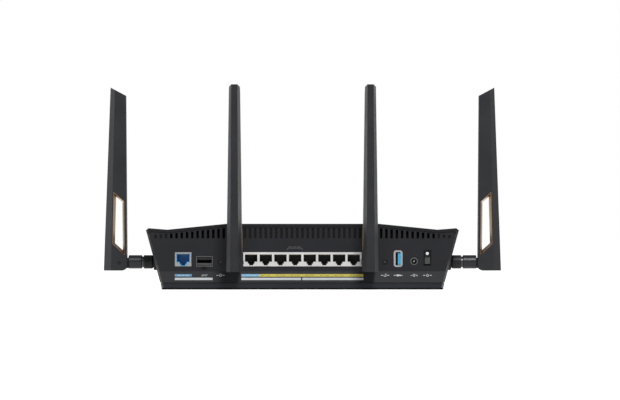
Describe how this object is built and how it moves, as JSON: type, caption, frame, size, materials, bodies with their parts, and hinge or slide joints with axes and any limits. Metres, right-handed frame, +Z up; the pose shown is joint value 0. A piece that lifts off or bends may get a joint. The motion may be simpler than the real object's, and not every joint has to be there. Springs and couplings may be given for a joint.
{
  "type": "wireless router",
  "caption": "Desktop wireless router with a faceted case, a rear wall of network sockets, and folding, swivelling blade antennas.",
  "frame": {"origin": "on the desk under the middle of the whole object's bounding box", "axes": "+Z up, +Y out of the rear port wall, +X to the right when seen from the front"},
  "size_m": [0.3826, 0.236, 0.1938],
  "materials": {
    "case_plastic": "fine texture",
    "lid_plastic": "fine texture",
    "blade_plastic": "satin",
    "fitting_plastic": "satin",
    "tinned_steel": "bright tin",
    "blue_plastic": "moulded",
    "dark_insert": "moulded",
    "contact_gold": "plated",
    "pin_metal": "plated",
    "board": "solder mask",
    "components": "moulded",
    "shield_metal": "stamped",
    "sink_metal": "extruded",
    "jack_brass": "turned",
    "lead_jacket": "smooth",
    "clear_guide": "clear",
    "foot_rubber": "matt",
    "screw_steel": "blackened",
    "trim_gold": "champagne anodised",
    "radiator_copper": "plain"
  },
  "bodies": {
    "case": {"top_cover": "lid_plastic", "middle_frame": "case_plastic", "bottom_cover": "case_plastic", "wan_jack_shield": "tinned_steel", "wan_jack_insert": "blue_plastic", "lan_jack_shield": "tinned_steel", "lan_jack_insert": "dark_insert", "jack_contacts": "contact_gold", "sfp_cage": "tinned_steel", "usb_shell": "tinned_steel", "usb_tongue": "blue_plastic", "dc_jack_body": "dark_insert", "dc_jack_pin": "pin_metal", "switch_housing": "fitting_plastic", "main_board": "board", "board_components": "components", "rf_shields": "shield_metal", "heatsinks": "sink_metal", "antenna_jacks": "jack_brass", "coax_leads": "lead_jacket", "light_guide": "clear_guide", "rubber_feet": "foot_rubber", "screws": "screw_steel", "right_side_plug": "fitting_plastic", "left_side_plug": "fitting_plastic", "rear_right_plug": "fitting_plastic", "rear_left_plug": "fitting_plastic"},
    "right_side_nut": {"right_side_nut": "fitting_plastic"},
    "right_side_swivel": {"right_side_barrel": "blade_plastic"},
    "right_side_blade": {"right_side_cover_shell": "blade_plastic", "right_side_base_shell": "blade_plastic", "right_side_window_trim": "trim_gold", "right_side_hinge_screw": "screw_steel", "right_side_radiator": "radiator_copper"},
    "left_side_nut": {"left_side_nut": "fitting_plastic"},
    "left_side_swivel": {"left_side_barrel": "blade_plastic"},
    "left_side_blade": {"left_side_cover_shell": "blade_plastic", "left_side_base_shell": "blade_plastic", "left_side_window_trim": "trim_gold", "left_side_hinge_screw": "screw_steel", "left_side_radiator": "radiator_copper"},
    "rear_right_nut": {"rear_right_nut": "fitting_plastic"},
    "rear_right_swivel": {"rear_right_barrel": "blade_plastic"},
    "rear_right_blade": {"rear_right_cover_shell": "blade_plastic", "rear_right_base_shell": "blade_plastic", "rear_right_window_trim": "trim_gold", "rear_right_hinge_screw": "screw_steel", "rear_right_radiator": "radiator_copper"},
    "rear_left_nut": {"rear_left_nut": "fitting_plastic"},
    "rear_left_swivel": {"rear_left_barrel": "blade_plastic"},
    "rear_left_blade": {"rear_left_cover_shell": "blade_plastic", "rear_left_base_shell": "blade_plastic", "rear_left_window_trim": "trim_gold", "rear_left_hinge_screw": "screw_steel", "rear_left_radiator": "radiator_copper"},
    "power_rocker": {"switch_rocker": "fitting_plastic"},
    "reset_button_cap": {"reset_button": "fitting_plastic"},
    "wps_button_cap": {"wps_button": "fitting_plastic"},
    "wifi_button_cap": {"wifi_button": "fitting_plastic"},
    "led_button_cap": {"led_button": "fitting_plastic"}
  },
  "joints": [
    {"name": "right_side_nut_turn", "type": "hinge", "parent": "case", "child": "right_side_nut", "pos_m": [0.1483, 0.0325, 0.0258], "axis": [1, 0, 0], "continuous": true},
    {"name": "right_side_swivel_turn", "type": "hinge", "parent": "case", "child": "right_side_swivel", "pos_m": [0.1613, 0.0325, 0.0258], "axis": [1, 0, 0], "range_deg": [-90, 90]},
    {"name": "right_side_blade_tilt", "type": "hinge", "parent": "right_side_swivel", "child": "right_side_blade", "pos_m": [0.1762, 0.0325, 0.0248], "axis": [0, 1, 0], "range_deg": [0, 90]},
    {"name": "left_side_nut_turn", "type": "hinge", "parent": "case", "child": "left_side_nut", "pos_m": [-0.1483, 0.0325, 0.0258], "axis": [-1, 0, 0], "continuous": true},
    {"name": "left_side_swivel_turn", "type": "hinge", "parent": "case", "child": "left_side_swivel", "pos_m": [-0.1613, 0.0325, 0.0258], "axis": [-1, 0, 0], "range_deg": [-90, 90]},
    {"name": "left_side_blade_tilt", "type": "hinge", "parent": "left_side_swivel", "child": "left_side_blade", "pos_m": [-0.1762, 0.0325, 0.0248], "axis": [0, -1, 0], "range_deg": [0, 90]},
    {"name": "rear_right_nut_turn", "type": "hinge", "parent": "case", "child": "rear_right_nut", "pos_m": [0.064, 0.075, 0.0258], "axis": [0, 1, 0], "continuous": true},
    {"name": "rear_right_swivel_turn", "type": "hinge", "parent": "case", "child": "rear_right_swivel", "pos_m": [0.064, 0.088, 0.0258], "axis": [0, 1, 0], "range_deg": [-18, 90]},
    {"name": "rear_right_blade_tilt", "type": "hinge", "parent": "rear_right_swivel", "child": "rear_right_blade", "pos_m": [0.064, 0.1029, 0.0248], "axis": [-1, 0, 0], "range_deg": [0, 90]},
    {"name": "rear_left_nut_turn", "type": "hinge", "parent": "case", "child": "rear_left_nut", "pos_m": [-0.064, 0.075, 0.0258], "axis": [0, 1, 0], "continuous": true},
    {"name": "rear_left_swivel_turn", "type": "hinge", "parent": "case", "child": "rear_left_swivel", "pos_m": [-0.064, 0.088, 0.0258], "axis": [0, 1, 0], "range_deg": [-90, 18]},
    {"name": "rear_left_blade_tilt", "type": "hinge", "parent": "rear_left_swivel", "child": "rear_left_blade", "pos_m": [-0.064, 0.1029, 0.0248], "axis": [-1, 0, 0], "range_deg": [0, 90]},
    {"name": "power_rocker_tip", "type": "hinge", "parent": "case", "child": "power_rocker", "pos_m": [-0.1191, 0.0655, 0.0302], "axis": [-1, 0, 0], "range_deg": [0, 18]},
    {"name": "reset_button_press", "type": "slide", "parent": "case", "child": "reset_button_cap", "axis": [0, -1, 0], "range_m": [0, 0.0008], "stiffness_N_per_m": 400},
    {"name": "wps_button_press", "type": "slide", "parent": "case", "child": "wps_button_cap", "axis": [0, -1, 0], "range_m": [0, 0.0008], "stiffness_N_per_m": 400},
    {"name": "wifi_button_press", "type": "slide", "parent": "case", "child": "wifi_button_cap", "axis": [0, 1, 0], "range_m": [0, 0.0008], "stiffness_N_per_m": 400},
    {"name": "led_button_press", "type": "slide", "parent": "case", "child": "led_button_cap", "axis": [0, 1, 0], "range_m": [0, 0.0008], "stiffness_N_per_m": 400}
  ]
}
